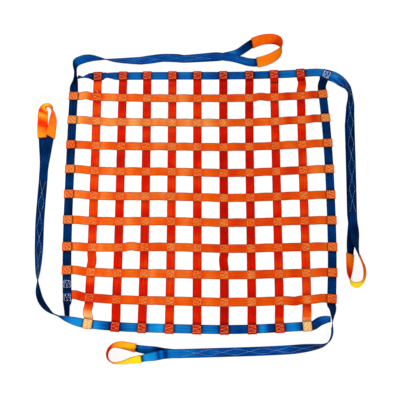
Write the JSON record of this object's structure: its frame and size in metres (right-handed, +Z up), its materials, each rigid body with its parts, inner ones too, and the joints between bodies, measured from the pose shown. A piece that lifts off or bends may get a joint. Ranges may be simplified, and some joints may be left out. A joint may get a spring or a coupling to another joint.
{
  "type": "cargo lifting net",
  "caption": "Square cargo lifting net of flat sewn webbing in a webbing border, lying spread out, with a lifting leg at each corner that ends in a sleeved eye.",
  "frame": {"origin": "on the floor, under the middle of the net's central crossing of two straps", "axes": "+Z up from the floor; +X along the straps that lie on top; +Y along the straps that lie underneath, towards the leg with the widest eye"},
  "size_m": [1.8906, 1.9505, 0.0624],
  "materials": {
    "across_webbing": "orange woven polyester webbing with a slight sheen",
    "down_webbing": "red-orange woven polyester webbing with a slight sheen",
    "edge_webbing": "blue woven polyester webbing with white zigzag stitching on the legs",
    "sleeve_cloth": "bright orange close-woven sleeve cloth with a sewn seam along each edge"
  },
  "bodies": {
    "root": {"strap_down_1": "down_webbing", "strap_down_2": "down_webbing", "strap_down_3": "down_webbing", "strap_down_4": "down_webbing", "strap_down_5": "down_webbing", "strap_down_6": "down_webbing", "strap_down_7": "down_webbing", "strap_down_8": "down_webbing", "strap_down_9": "down_webbing", "strap_across_1": "across_webbing", "strap_across_2": "across_webbing", "strap_across_3": "across_webbing", "strap_across_4": "across_webbing", "strap_across_5": "across_webbing", "strap_across_6": "across_webbing", "strap_across_7": "across_webbing", "strap_across_8": "across_webbing", "strap_across_9": "across_webbing", "edge_web_left": "edge_webbing", "edge_web_top": "edge_webbing", "edge_web_right": "edge_webbing", "edge_web_bottom": "edge_webbing", "leg_web_top": "edge_webbing", "leg_web_right": "edge_webbing", "leg_web_bottom": "edge_webbing", "leg_web_left": "edge_webbing", "eye_web_top": "edge_webbing", "eye_web_right": "edge_webbing", "eye_web_bottom": "edge_webbing", "eye_web_left": "edge_webbing", "return_web_top": "edge_webbing", "return_web_right": "edge_webbing", "return_web_bottom": "edge_webbing", "return_web_left": "edge_webbing", "wear_sleeve_top": "sleeve_cloth", "wear_sleeve_right": "sleeve_cloth", "wear_sleeve_bottom": "sleeve_cloth", "wear_sleeve_left": "sleeve_cloth"}
  },
  "joints": []
}
